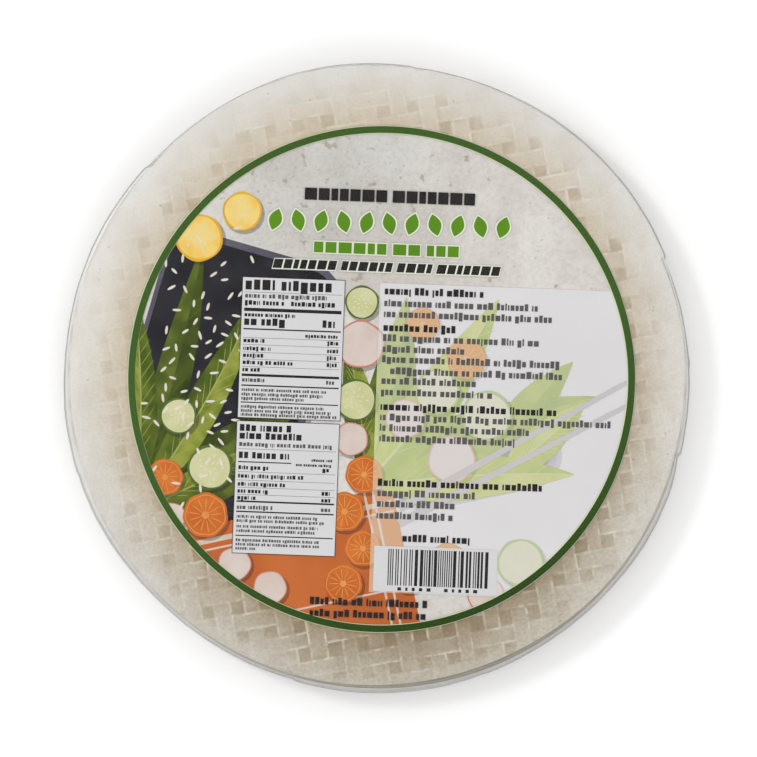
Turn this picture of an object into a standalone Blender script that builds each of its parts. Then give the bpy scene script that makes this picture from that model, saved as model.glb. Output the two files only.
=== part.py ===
"""A round pack of dried rice paper sheets, sealed in tight clear film.

The pack lies flat on z = 0 with its middle over the origin and +Z up. +Y is the top of the printed label.
Two pieces: film_pack, the sealed film with the stack of sheets it is drawn around, as one solid, and label,
the round paper that lies on the top sheet. Sizes are in metres.
"""

import math

import bmesh
import bpy

# The stack and the film around it.
SHEET_RADIUS = 0.1100
SHEET_COUNT = 32
SHEET_PITCH = 0.00046
FILM_ALLOWANCE = 0.0007
PACK_HEIGHT = SHEET_COUNT * SHEET_PITCH + FILM_ALLOWANCE

# The film's outer wall: widest low down, leaning in to the edge of the top sheet.
PACK_RADIUS = SHEET_RADIUS + 0.0026
WALL_LEAN = 0.0010
WALL_BULGE = 0.0002
BASE_ROUNDING = 0.0022
SHOULDER_ROUNDING = 0.0012
STACK_SHIFT_X = 0.0001
STACK_SHIFT_Y = 0.0006

# Sheets never stack quite true, so the outline wavers.
# Each entry is (waves round the rim, height of wave, turn in degrees).
OUTLINE_WAVES = (
    (2, 0.00024, 134.0),
    (3, 0.00014, 152.0),
    (4, 0.00015, 291.0),
    (5, 0.00020, 133.0),
    (6, 0.00018, 166.0),
    (7, 0.00011, 31.0),
    (8, 0.00008, 260.0),
)

# The label lies in the flat top, flush with it.
LABEL_RADIUS = 0.0907
LABEL_THICKNESS = 0.0003
LABEL_CENTRE = (0.00175, -0.00065)
PIECE_GAP = 0.0003

# How finely the round shapes are cut up.
SEGMENTS = 120
ROUNDING_STEPS = 4
WALL_STEPS = 5
SMOOTH_UP_TO = math.radians(40.0)


def clear_objects():
    for thing in list(bpy.data.objects):
        bpy.data.objects.remove(thing, do_unlink=True)


def make_material(name, colour, roughness, metallic=0.0):
    material = bpy.data.materials.new(name)
    material.use_nodes = True
    shader = material.node_tree.nodes["Principled BSDF"]
    shader.inputs["Base Color"].default_value = (*colour, 1.0)
    shader.inputs["Roughness"].default_value = roughness
    shader.inputs["Metallic"].default_value = metallic
    return material


def segment_angles():
    return [math.tau * step / SEGMENTS for step in range(SEGMENTS)]


def outline_radius(angle):
    """The pack's widest radius in this direction."""
    radius = PACK_RADIUS
    for waves, height, turn in OUTLINE_WAVES:
        radius += height * math.cos(waves * angle + math.radians(turn))
    return radius


def outline_middle():
    """The middle of the widest outline's box, which is put over the origin."""
    across = [outline_radius(angle) * math.cos(angle) for angle in segment_angles()]
    along = [outline_radius(angle) * math.sin(angle) for angle in segment_angles()]
    return (min(across) + max(across)) / 2, (min(along) + max(along)) / 2


def wall_profile():
    """(inset from the outline, height) up the film's side, from the flat base to the flat top."""
    points = []
    for step in range(ROUNDING_STEPS + 1):
        turn = math.pi / 2 * step / ROUNDING_STEPS
        inset = BASE_ROUNDING * (1 - math.sin(turn))
        points.append((inset, BASE_ROUNDING * (1 - math.cos(turn))))
    wall_height = PACK_HEIGHT - BASE_ROUNDING - SHOULDER_ROUNDING
    for step in range(1, WALL_STEPS):
        share = step / WALL_STEPS
        bulge = WALL_BULGE * math.sin(math.pi * share)
        points.append((WALL_LEAN * share - bulge, BASE_ROUNDING + wall_height * share))
    for step in range(ROUNDING_STEPS + 1):
        turn = math.pi / 2 * step / ROUNDING_STEPS
        inset = WALL_LEAN + SHOULDER_ROUNDING * (1 - math.cos(turn))
        points.append((inset, PACK_HEIGHT - SHOULDER_ROUNDING * (1 - math.sin(turn))))
    return points


def add_outline_ring(mesh, inset, height):
    """A ring that follows the pack's outline, shifted with the stack as it rises."""
    middle_x, middle_y = outline_middle()
    rise = height / PACK_HEIGHT
    ring = []
    for angle in segment_angles():
        radius = outline_radius(angle) - inset
        x = radius * math.cos(angle) - middle_x + STACK_SHIFT_X * rise
        y = radius * math.sin(angle) - middle_y + STACK_SHIFT_Y * rise
        ring.append(mesh.verts.new((x, y, height)))
    return ring


def add_circle_ring(mesh, centre, radius, height):
    ring = []
    for angle in segment_angles():
        x = centre[0] + radius * math.cos(angle)
        y = centre[1] + radius * math.sin(angle)
        ring.append(mesh.verts.new((x, y, height)))
    return ring


def bridge_rings(mesh, rings):
    """Faces between each ring and the next, facing outwards when the rings run up the outside."""
    for lower, upper in zip(rings, rings[1:]):
        for index in range(SEGMENTS):
            after = (index + 1) % SEGMENTS
            mesh.faces.new((lower[index], lower[after], upper[after], upper[index]))


def close_ring(mesh, ring, faces_up):
    mesh.faces.new(ring if faces_up else list(reversed(ring)))


def make_object(mesh, name, material):
    bmesh.ops.recalc_face_normals(mesh, faces=mesh.faces[:])
    data = bpy.data.meshes.new(name)
    mesh.to_mesh(data)
    mesh.free()
    data.materials.append(material)
    data.shade_smooth()
    data.set_sharp_from_angle(angle=SMOOTH_UP_TO)
    thing = bpy.data.objects.new(name, data)
    bpy.context.scene.collection.objects.link(thing)
    return thing


def build_film_pack():
    """The sealed pack out to its film, with a shallow round seat in its top for the label."""
    seat_radius = LABEL_RADIUS + PIECE_GAP
    seat_floor = PACK_HEIGHT - LABEL_THICKNESS - PIECE_GAP
    mesh = bmesh.new()
    rings = [add_outline_ring(mesh, inset, height) for inset, height in wall_profile()]
    rings.append(add_circle_ring(mesh, LABEL_CENTRE, seat_radius, PACK_HEIGHT))
    rings.append(add_circle_ring(mesh, LABEL_CENTRE, seat_radius, seat_floor))
    bridge_rings(mesh, rings)
    close_ring(mesh, rings[0], faces_up=False)
    close_ring(mesh, rings[-1], faces_up=True)
    film = make_material("clear_film", (0.80, 0.78, 0.73), roughness=0.15)
    return make_object(mesh, "film_pack", film)


def build_label():
    """The round paper label, whose face is level with the top of the pack."""
    mesh = bmesh.new()
    underside = add_circle_ring(mesh, LABEL_CENTRE, LABEL_RADIUS, PACK_HEIGHT - LABEL_THICKNESS)
    face = add_circle_ring(mesh, LABEL_CENTRE, LABEL_RADIUS, PACK_HEIGHT)
    bridge_rings(mesh, [underside, face])
    close_ring(mesh, underside, faces_up=False)
    close_ring(mesh, face, faces_up=True)
    paper = make_material("label_paper", (0.66, 0.65, 0.63), roughness=0.45)
    return make_object(mesh, "label", paper)


clear_objects()
build_film_pack()
build_label()
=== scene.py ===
"""Looks of a sealed round pack of dried rice paper wrappers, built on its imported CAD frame.

Clear film is drawn tight round a stack of thin sheets that a woven mat has marked, with a round printed
paper label under it. Lengths are in metres, and MM turns millimetres into them. The print is laid out in
the label's own millimetres, with x to the label's right and y to its top.
"""

import math
import random

import bmesh
import bpy
import numpy as np
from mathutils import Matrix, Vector
from mathutils.geometry import tessellate_polygon


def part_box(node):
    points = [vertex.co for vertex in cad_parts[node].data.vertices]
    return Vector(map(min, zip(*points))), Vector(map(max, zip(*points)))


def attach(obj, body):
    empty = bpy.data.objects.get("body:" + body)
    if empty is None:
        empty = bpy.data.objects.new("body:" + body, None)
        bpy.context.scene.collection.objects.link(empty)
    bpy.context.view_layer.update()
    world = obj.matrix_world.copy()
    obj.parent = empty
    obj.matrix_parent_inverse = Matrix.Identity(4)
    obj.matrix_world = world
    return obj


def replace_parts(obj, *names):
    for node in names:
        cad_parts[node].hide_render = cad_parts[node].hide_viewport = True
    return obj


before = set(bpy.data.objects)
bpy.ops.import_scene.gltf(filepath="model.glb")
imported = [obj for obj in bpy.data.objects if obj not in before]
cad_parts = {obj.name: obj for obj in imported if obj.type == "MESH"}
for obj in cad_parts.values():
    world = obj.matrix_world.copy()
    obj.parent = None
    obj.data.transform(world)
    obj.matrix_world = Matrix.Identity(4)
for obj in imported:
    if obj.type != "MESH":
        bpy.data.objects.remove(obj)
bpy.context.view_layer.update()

MM = 0.001
PACK_LOW, PACK_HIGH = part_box("film_pack")
LABEL_LOW, LABEL_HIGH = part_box("label")
LABEL_CENTRE = (LABEL_LOW + LABEL_HIGH) / 2
LABEL_RADIUS = (LABEL_HIGH.x - LABEL_LOW.x) / 2
PACK_TOP = PACK_HIGH.z

# The stack. Its sheets lie a little out of true, the upper ones shifted towards the label's top.
SHEET_COUNT = 32
SHEET_RADIUS = 110.0 * MM
SHEET_THICKNESS = 0.30 * MM
SHEET_PITCH = 0.46 * MM
TOP_SHEET_CENTRE = Vector((0.395 * MM, 0.844 * MM))
LOW_SHEET_CENTRE = Vector((0.45 * MM, -1.05 * MM))
TOP_SHEET_FACE = PACK_TOP - 0.55 * MM
LOW_SHEET_FACE = 0.10 * MM

# The top sheet's rim: its radius, and its waves as (waves round the rim, height in mm, turn in degrees).
TOP_SHEET_RADIUS = 110.44 * MM
TOP_SHEET_WAVES = (
    (2, 0.49, 196.0), (3, 0.15, 8.0), (4, 0.23, 229.0), (5, 0.28, 180.0), (6, 0.08, 233.0),
)

# The top sheet is plain within this radius, where the label hides it.
TOP_SHEET_HIDDEN = 87.5 * MM

# The room between a middle sheet and the film's wall, and how much more is left at the foot, in mm.
FILM_CLEARANCE = 0.45
FOOT_CLEARANCE = 0.75

# The mat's weave, as it marks the sheets: flat strips with open squares between them. Places in it are in
# its own pitch, with one strip between each two whole numbers. Each strip's middle and half width are drawn
# at random between two limits.
WEAVE_PITCH = 10.36 * MM
WEAVE_TURN = math.radians(10.2)
WEAVE_START = (0.835, 0.937)
STRIP_HALF_WIDTH = 0.28
STRIP_MIDDLES = (0.48, 0.52)
STRIP_HALF_WIDTHS = (0.245, 0.315)
FINE_LINES = (0.0, 0.10, 0.165, 0.195, 0.22, 0.245, 0.275, 0.33, 0.42)
COARSE_LINES = (0.0, 0.17, 0.22, 0.28)
WEAVE_RELIEF = 0.20 * MM
WEAVE_WANDER = 0.30 * MM
RIM_CURL = 0.10 * MM
FACE_WAVE = 0.025 * MM

# The film, whose wall repeats the CAD solid's, with its waves as for the top sheet.
FILM_RADIUS = 112.6 * MM
WALL_LEAN = 1.0 * MM
WALL_BULGE = 0.2 * MM
WALL_STEPS = 26
BASE_ROUNDING = 2.2 * MM
SHOULDER_ROUNDING = 1.2 * MM
ROUNDING_STEPS = 8
FILM_SHIFT = Vector((0.1 * MM, 0.6 * MM))
FILM_SEGMENTS = 900
OUTLINE_WAVES = (
    (2, 0.24, 134.0), (3, 0.14, 152.0), (4, 0.15, 291.0), (5, 0.20, 133.0), (6, 0.18, 166.0),
    (7, 0.11, 31.0), (8, 0.08, 260.0),
)

# The film's weld line round the wall, and two small ears at its ends: (direction, how far they stand out).
WELD_REACH = 0.22 * MM
WELD_WIDTH = 0.32 * MM
EARS = ((math.radians(2.5), 0.50 * MM), (math.radians(185.5), 0.22 * MM))
EAR_WIDTH = math.radians(0.75)

# Tucks, where the film steps in: (direction in degrees, step in mm, degrees over which it comes back).
TUCKS = (
    (22.5, 0.80, -24.0), (83.5, 0.35, -14.0), (137.5, 0.55, -12.0), (198.0, 0.30, 14.0),
    (254.5, 0.45, -14.0), (289.7, 0.35, -2.5), (345.5, 1.10, -7.0),
)

# The label's print.
LABEL_TURN = math.radians(-2.1)
LABEL_FACE = PACK_TOP - 0.42 * MM
LABEL_THICKNESS = 0.11 * MM
INK_STEP = 0.005 * MM
RING_INNER = 88.05
RING_OUTER = 90.60

# Directions in the pack's top view, from +x towards +y: where painted shade makes it darkest and yellowest,
# where the sheets look roughest, and where painted light makes them whitest (there and opposite). Their
# effects fade out towards the middle.
SHADED_DIRECTION = math.radians(285.0)
FOOT_DIRECTION = math.radians(282.0)
LIT_DIRECTION = math.radians(163.0)
LIT_SHARE = 0.26
MIDDLE_FADE = 85 * MM

# The sheets' colours, each as (by the label, at the rim). Darker and yellower by the label is partly the
# sheets' own tone and partly painted shade, and whiter at the rim partly painted light. The second pair is
# painted shade on the pack's foot side, and the whitest colour painted light on two opposite sides.
PAPER_PALE = ((0.600, 0.530, 0.430), (0.675, 0.660, 0.636))
PAPER_SHADED = ((0.308, 0.237, 0.147), (0.512, 0.475, 0.412))
PAPER_LIT = (0.90, 0.89, 0.87)

# Fine marks all over a sheet: (noise scale, its detail, where a mark starts, its share, its tone).
PAPER_MARKS = (
    (260.0, 3.0, 0.38, 0.17, (0.84, 0.81, 0.74)),
    (900.0, 3.0, 0.38, 0.20, (0.70, 0.63, 0.50)),
    (2200.0, 2.0, 0.36, 0.12, (0.66, 0.60, 0.50)),
)

# The colours of the rims in the stack's side, each as (colour, the colour it drifts to): pale rims, and
# darker brown ones that are painted shade towards the pack's foot.
RIMS_PALE = ((0.79, 0.775, 0.735), (0.72, 0.70, 0.655))
RIMS_SHADED = ((0.39, 0.36, 0.30), (0.33, 0.30, 0.25))

INK_SURFACE = {"Roughness": 0.45, "Specular_IOR_Level": 0.06}


# -------- materials

class Shader:
    """A material's node tree, with short calls for the nodes that the finishes are made of."""

    def __init__(self, name):
        self.material = bpy.data.materials.new(name)
        self.material.use_nodes = True
        self.tree = self.material.node_tree
        self.main = self.tree.nodes["Principled BSDF"]
        self.output = self.tree.nodes["Material Output"]
        self.coordinates = None

    def put(self, socket, value):
        """Links an output to a socket, or sets the socket to a plain value."""
        if isinstance(value, bpy.types.NodeSocket):
            self.tree.links.new(value, socket)
        elif socket.type == "RGBA":
            socket.default_value = (*value, 1.0)
        else:
            socket.default_value = value

    def add(self, kind, values, **settings):
        """A new node, with its settings, and the values of its sockets by number or name."""
        node = self.tree.nodes.new("ShaderNode" + kind)
        for key, value in settings.items():
            setattr(node, key, value)
        for socket, value in values.items():
            self.put(node.inputs[socket], value)
        return node

    def set(self, **values):
        for key, value in values.items():
            self.put(self.main.inputs[key.replace("_", " ")], value)
        return self.material

    def place(self):
        if self.coordinates is None:
            self.coordinates = self.add("TexCoord", {}).outputs["Object"]
        return self.coordinates

    def attribute(self, name):
        return self.add("Attribute", {}, attribute_name=name).outputs["Fac"]

    def maths(self, operation, first, second=0.0, clamp=False):
        return self.add("Math", {0: first, 1: second}, operation=operation, use_clamp=clamp).outputs[0]

    def times(self, first, second):
        return self.maths("MULTIPLY", first, second)

    def vector(self, operation, first, second=(0.0, 0.0, 0.0)):
        node = self.add("VectorMath", {0: first, 1: second}, operation=operation)
        return node.outputs["Value" if operation in ("LENGTH", "DOT_PRODUCT") else "Vector"]

    def noise(self, scale, detail=2.0, roughness=0.5, stretch=None):
        source = self.place()
        if stretch is not None:
            source = self.add("Mapping", {"Vector": source, "Scale": stretch}).outputs[0]
        values = {"Vector": source, "Scale": scale, "Detail": detail, "Roughness": roughness}
        return self.add("TexNoise", values).outputs["Fac"]

    def spread(self, value, low, high, to_low=0.0, to_high=1.0, steps="SMOOTHSTEP"):
        values = dict(enumerate((value, low, high, to_low, to_high)))
        return self.add("MapRange", values, interpolation_type=steps).outputs[0]

    def mix(self, share, first, second, blend="MIX"):
        values = {0: share, 6: first, 7: second}
        return self.add("Mix", values, data_type="RGBA", blend_type=blend).outputs[2]

    def bump(self, height, distance, strength):
        return self.add("Bump", {"Height": height, "Distance": distance, "Strength": strength}).outputs[0]


def radius_from(shader, centre):
    """A node value: the distance from an upright axis through centre."""
    shifted = shader.vector("SUBTRACT", shader.place(), (centre[0], centre[1], 0.0))
    return shader.vector("LENGTH", shader.vector("MULTIPLY", shifted, (1.0, 1.0, 0.0)))


def facing_share(shader, direction):
    """A node value: 1 on the pack's side in this direction, -1 on the far side, and 0 in the middle."""
    flat = shader.vector("MULTIPLY", shader.place(), (1.0, 1.0, 0.0))
    towards = (math.cos(direction), math.sin(direction), 0.0)
    aligned = shader.vector("DOT_PRODUCT", shader.vector("NORMALIZE", flat), towards)
    return shader.times(aligned, shader.spread(shader.vector("LENGTH", flat), 0.0, MIDDLE_FADE))


def side_share(shader, direction, low, power):
    """A node value: 1 on the pack's side in this direction, falling to 0 where facing_share is low."""
    aligned = facing_share(shader, direction)
    return shader.maths("POWER", shader.spread(aligned, low, 1.0, steps="LINEAR"), power)


# Where painted shade is darkest: the pack's foot side.
def shaded_side_share(shader):
    return side_share(shader, SHADED_DIRECTION, -0.3, 1.7)


def foot_share(shader):
    return side_share(shader, FOOT_DIRECTION, -1.0, 1.4)


def lit_side_share(shader):
    """A node value: highest on the two opposite sides where light is painted on the sheets, and 0 between.
    """
    return shader.times(shader.maths("POWER", facing_share(shader, LIT_DIRECTION), 4.0), LIT_SHARE)


def finish_rice_paper():
    """Dry, chalky, yellowish sheet. Strips are pale and the squares between them darker, with painted shade
    beside the strips' edges and painted highlights along them. The rim is whiter, partly as painted light;
    the foot side has painted shade, and two opposite sides painted light.
    """
    s = Shader("rice_paper")
    outward = s.spread(radius_from(s, TOP_SHEET_CENTRE), 91 * MM, 108 * MM, steps="LINEAR")
    # Painted shade darkens and browns the foot side. The change from label to rim is partly the sheets' own
    # tone, partly painted shade by the label and painted light at the rim.
    paper = s.mix(shaded_side_share(s), s.mix(outward, *PAPER_PALE), s.mix(outward, *PAPER_SHADED))
    # Painted light whitens two opposite sides, most towards the rim.
    paper = s.mix(s.times(lit_side_share(s), s.spread(outward, 0.1, 0.7, 0.0, 0.9)), paper, PAPER_LIT)
    # The open squares' darker tone is the mat's mark; the same values carry painted shade beside the strips'
    # edges.
    opening_and_shade = s.times(s.attribute("opening_and_shade"), s.spread(s.noise(170.0), 0.36, 0.64, 0.55, 1.15))
    paper = s.mix(opening_and_shade, paper, (0.795, 0.752, 0.672), "MULTIPLY")
    # Painted highlights along the strips' edges.
    edge_highlight = s.times(s.attribute("edge_highlight"), s.spread(s.noise(240.0), 0.42, 0.62, 0.05, 0.42))
    paper = s.mix(edge_highlight, paper, (0.93, 0.92, 0.86))
    paper = s.mix(s.attribute("ghost"), paper, (0.88, 0.86, 0.82), "MULTIPLY")
    cloudy = s.spread(s.noise(38.0, 3.0), 0.35, 0.68, 0.0, 0.20)
    paper = s.mix(cloudy, paper, (0.90, 0.87, 0.80), "MULTIPLY")

    # The fine marks are strongest at the foot, and faintest at the head's rim.
    foot = foot_share(s)
    calm = s.times(s.times(outward, s.maths("SUBTRACT", 1.0, foot)), 0.62)
    rough = s.times(s.maths("ADD", s.times(foot, 1.20), 0.80), s.maths("SUBTRACT", 1.0, calm))
    for scale, detail, start, share, tone in PAPER_MARKS:
        mark = s.times(s.spread(s.noise(scale, detail, 0.6), start, 0.66, 0.0, share), rough)
        paper = s.mix(mark, paper, tone, "MULTIPLY")
    hair = s.maths("ABSOLUTE", s.maths("SUBTRACT", s.noise(230.0, 2.0, 0.6, (1.0, 2.2, 1.0)), 0.5))
    paper = s.mix(s.spread(hair, 0.012, 0.0, 0.0, 0.16), paper, (0.62, 0.55, 0.44), "MULTIPLY")
    specks = s.spread(s.noise(420.0, 1.0), 0.745, 0.80, 0.0, 0.45)
    paper = s.mix(specks, paper, (0.26, 0.21, 0.14))
    s.set(Base_Color=paper, Roughness=s.spread(s.noise(60.0), 0.3, 0.7, 0.52, 0.64), Specular_IOR_Level=0.25)
    relief = s.maths("ADD", s.noise(1400.0, 3.0, 0.6), s.times(s.noise(300.0, 3.0, 0.6), 2.0))
    return s.set(Normal=s.bump(relief, 0.03 * MM, 0.4))


def finish_sheet_edges():
    """The stack's side, where many thin rims lie close together."""
    s = Shader("sheet_edges")
    drifting = [
        s.mix(s.spread(s.noise(55.0, 3.0), 0.35, 0.65), *colours) for colours in (RIMS_PALE, RIMS_SHADED)
    ]
    # The rims turn darker and browner towards the foot: painted shade.
    base = s.mix(s.maths("POWER", shaded_side_share(s), 1.4), *drifting)
    lines = s.noise(120.0, 2.0, stretch=(1.0, 1.0, 30.0))
    edged = s.mix(s.spread(lines, 0.40, 0.62, 0.0, 0.35), base, (0.58, 0.54, 0.47), "MULTIPLY")
    s.set(Base_Color=edged, Roughness=0.6, Specular_IOR_Level=0.25)
    return s.set(Normal=s.bump(s.noise(800.0, 3.0), 0.02 * MM, 0.5))


def finish_film():
    """Thin clear film: light goes straight through. Seen at a slant it is darker and shines more."""
    s = Shader("clear_film")
    facing = s.add("LayerWeight", {}).outputs["Facing"]
    shine = s.maths("ADD", s.times(s.maths("POWER", facing, 6.0), 0.60), 0.006)
    shine = s.maths("ADD", shine, s.times(s.attribute("loose"), 0.03), clamp=True)
    tint = s.mix(s.spread(facing, 0.5, 1.0), (0.985, 0.985, 0.98), (0.84, 0.84, 0.825))
    tint = s.mix(s.spread(facing, 0.76, 0.96, 0.0, 0.9), tint, (0.36, 0.36, 0.345))
    gloss = {
        "Color": s.mix(s.spread(facing, 0.86, 0.99), (1.0, 1.0, 1.0), (0.72, 0.72, 0.71)),
        "Roughness": s.spread(s.noise(70.0), 0.3, 0.7, 0.09, 0.17),
        "Normal": s.bump(s.noise(260.0), 0.02 * MM, 0.35),
    }
    clear = s.add("BsdfTransparent", {"Color": tint}).outputs[0]
    glossy = s.add("BsdfGlossy", gloss).outputs[0]
    s.put(s.output.inputs["Surface"], s.add("MixShader", {0: shine, 1: clear, 2: glossy}).outputs[0])
    s.tree.nodes.remove(s.main)
    return s.material


def finish_stone_print():
    """The label's pale stone background: grey with brown specks, which are thickest near the top."""
    s = Shader("print_stone")
    base = s.mix(s.spread(s.noise(26.0, 4.0, 0.6), 0.36, 0.66), (0.690, 0.668, 0.635), (0.590, 0.560, 0.520))
    fine = s.spread(s.noise(700.0, 3.0, 0.65), 0.38, 0.66, 0.0, 0.18)
    stone = s.mix(fine, base, (0.42, 0.39, 0.34), "MULTIPLY")
    top = (LABEL_CENTRE.x - 18 * MM, LABEL_CENTRE.y + 74 * MM)
    near_top = s.spread(radius_from(s, top), 62 * MM, 12 * MM)
    stone = s.mix(s.times(near_top, 0.7), stone, (0.80, 0.81, 0.82), "MULTIPLY")
    pits = s.maths("ADD", s.noise(210.0, 2.0, 0.6), s.times(near_top, 0.045))
    stone = s.mix(s.spread(pits, 0.675, 0.735, 0.0, 0.6), stone, (0.30, 0.235, 0.17))
    specks = s.maths("ADD", s.noise(520.0, 1.0), s.times(near_top, 0.04))
    stone = s.mix(s.spread(specks, 0.72, 0.77, 0.0, 0.5), stone, (0.36, 0.30, 0.24))
    s.set(Base_Color=stone, Roughness=0.45, Specular_IOR_Level=0.2)
    return s.set(Normal=s.bump(s.noise(900.0), 0.01 * MM, 0.25))


def set_ink(s, colour):
    """Gives a finish the surface of ink on smooth coated paper."""
    return s.set(Base_Color=colour, Normal=s.bump(s.noise(1200.0), 0.005 * MM, 0.3), **INK_SURFACE)


def finish_ink(name, colour, second, scale):
    """Printed ink: a colour that drifts to a second one."""
    s = Shader(name)
    return set_ink(s, s.mix(s.spread(s.noise(scale, 3.0, 0.55), 0.32, 0.68), colour, second))


def finish_ring():
    """The label's green border, with painted shade making it darker on the pack's foot side."""
    s = Shader("print_ring_green")
    drifting = s.mix(s.spread(s.noise(14.0), 0.35, 0.65), (0.050, 0.108, 0.020), (0.043, 0.098, 0.016))
    # The darker green towards the foot is painted shade.
    return set_ink(s, s.mix(shaded_side_share(s), drifting, (0.022, 0.054, 0.006)))


def finish_veil(name, colour, share):
    """A see-through layer of ink, which tones what is printed under it."""
    s = Shader(name)
    other = tuple(channel * 0.96 for channel in colour)
    drifting = s.mix(s.spread(s.noise(40.0), 0.3, 0.7), colour, other)
    return s.set(Base_Color=drifting, Alpha=share, **INK_SURFACE)


# -------- meshes

def add_object(name, data):
    thing = bpy.data.objects.new(name, data)
    bpy.context.scene.collection.objects.link(thing)
    return thing


def add_piece(name, points, faces, material, smooth=True):
    """A mesh piece of the pack from lists or arrays of points and faces."""
    mesh = bpy.data.meshes.new(name)
    mesh.from_pydata([tuple(p) for p in points], [], [tuple(f) for f in faces])
    mesh.materials.append(material)
    mesh.validate()
    if smooth:
        mesh.shade_smooth()
    piece = add_object(name, mesh)
    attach(piece, "root")
    return piece


def band_faces(start, rings, segments):
    """Faces of a closed body from rings of points: bands between them, and a face at either end."""
    faces = []
    for ring in range(rings - 1):
        lower = start + ring * segments
        for step in range(segments):
            after = (step + 1) % segments
            faces.append((lower + step, lower + after, lower + after + segments, lower + step + segments))
    last = start + (rings - 1) * segments
    faces.append(tuple(start + step for step in reversed(range(segments))))
    faces.append(tuple(last + step for step in range(segments)))
    return faces


def save_outwards(work, piece):
    """Puts an edited mesh back into its piece, with its faces facing outwards."""
    bmesh.ops.recalc_face_normals(work, faces=work.faces[:])
    work.to_mesh(piece.data)
    work.free()


def face_outwards(piece):
    work = bmesh.new()
    work.from_mesh(piece.data)
    save_outwards(work, piece)


def add_values(piece, name, values):
    stored = piece.data.attributes.new(name, "FLOAT", "POINT")
    stored.data.foreach_set("value", np.asarray(values, np.float32))


def directions(count):
    """So many directions, evenly round a circle from +x."""
    return np.linspace(0, math.tau, count, endpoint=False)


def level_ring(x, y, height):
    return np.stack([x, y, np.full_like(x, height)], 1)


def waved(radius, angle, waves):
    """A radius with waves added round the rim, as for the top sheet."""
    for count, height, turn in waves:
        radius = radius + height * MM * np.cos(count * angle + math.radians(turn))
    return radius


def smooth_step(value, low, high):
    share = np.clip((value - low) / (high - low), 0.0, 1.0)
    return share * share * (3 - 2 * share)


def ripple(angle, seed, waves, height):
    """A smooth random wave round a circle, from the sum of a few whole-number waves."""
    draw = random.Random(seed)
    total = np.zeros_like(angle)
    for count in waves:
        total += draw.uniform(0.5, 1.0) * np.cos(count * angle + draw.uniform(0, math.tau))
    return height * total / math.sqrt(len(waves))


def drift(x, y, seed, length):
    """Smooth random values over the plane, about -1 to 1, that change over this length."""
    draw = random.Random(seed)
    total = np.zeros_like(x)
    for _ in range(7):
        turn, stretch = draw.uniform(0, math.tau), draw.uniform(0.6, 1.5)
        along = (x * math.cos(turn) + y * math.sin(turn)) * math.tau / (length * stretch)
        total += np.sin(along + draw.uniform(0, math.tau))
    return total / 2.6


# -------- the sheets

def weave_at(u, v):
    """The mat's mark at a place in the weave: relief, openness with painted shade, and painted highlight
    along the strips' edges, each about 0 to 1.
    """
    column, row = np.floor(u), np.floor(v)
    across, along = np.abs(u - column - 0.5), np.abs(v - row - 0.5)
    edge = STRIP_HALF_WIDTH
    near_edge = (edge - 0.11, edge - 0.055, edge - 0.025, edge, edge + 0.025)
    rises = (0.84, 0.87, 0.93, 0.96, 0.45, 0.0)
    level_over = np.where((column + row) % 2 == 0, 1.0, -1.0)
    upright_lift = 0.76 - 0.22 * level_over * np.cos(math.pi * (v - row - 0.5))
    level_lift = 0.76 + 0.22 * level_over * np.cos(math.pi * (u - column - 0.5))
    upright = np.interp(across, (0.0, *near_edge), rises) * upright_lift
    level = np.interp(along, (0.0, *near_edge), rises) * level_lift
    on_upright = np.interp(across, (edge - 0.055, edge, edge + 0.055), (1.0, 0.5, 0.0))
    on_level = np.interp(along, (edge - 0.055, edge, edge + 0.055), (1.0, 0.5, 0.0))

    # A painted highlight runs along each strip's edge where the strip is seen.
    edge_highlight = np.interp(np.where(level > upright, along, across), near_edge, (0, 0.5, 1, 0.4, 0))
    # Painted shade lies on the under strip beside an over strip's edge, and in the open squares close to the
    # strips.
    covered = np.where(level_over > 0, on_upright * (1 - on_level), on_level * (1 - on_upright))
    past_cover = np.where(level_over > 0, along, across) - edge
    shaded = covered * np.interp(past_cover, (0.0, 0.025, 0.06, 0.16), (0.25, 0.60, 0.40, 0.15))
    hollow = 1 - np.maximum(on_upright, on_level)
    nearest = np.minimum(across, along) - edge
    openness_and_shade = np.maximum(hollow * np.interp(nearest, (0.0, 0.025, 0.07), (1.15, 1.1, 1.0)), shaded)
    return np.maximum(upright, level), openness_and_shade, edge_highlight * (1 - hollow)


def uneven(fraction, middle, half_width):
    """Moves and widens the strip within its pitch, keeping the pitch's two ends in place."""
    first, last = 0.5 - STRIP_HALF_WIDTH, 0.5 + STRIP_HALF_WIDTH
    low, high = middle - half_width, middle + half_width
    before = fraction / first * low
    within = low + (fraction - first) / (last - first) * (high - low)
    after = high + (fraction - last) / (1 - last) * (1 - high)
    return np.where(fraction < first, before, np.where(fraction < last, within, after))


def sheet_outline(angle, seed):
    """A hidden sheet's rim: very nearly round, longest along y."""
    return SHEET_RADIUS - 0.25 * MM * np.cos(2 * angle) + ripple(angle, seed, (3, 5, 8), 0.10 * MM)


def low_sheet_outline(angle):
    return sheet_outline(angle, 77)


def top_sheet_outline(angle):
    return waved(TOP_SHEET_RADIUS + ripple(angle, 78, (9, 13, 17), 0.05 * MM), angle, TOP_SHEET_WAVES)


def weave_clarity(x, y):
    """How plainly the weave shows: least on the left, fading out towards the rim, and best at the foot."""
    foot = smooth_step(-y, 20 * MM, 90 * MM)
    side = 0.45 + 0.35 * smooth_step(x, -85 * MM, 15 * MM) + 0.55 * foot
    fading = 1 - 0.85 * smooth_step(np.hypot(x, y) - 7.0 * MM * foot, 96 * MM, 105 * MM)
    return np.clip(side * fading * (1 + 0.35 * drift(x, y, 21, 30 * MM)), 0.05, 1.45)


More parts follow.
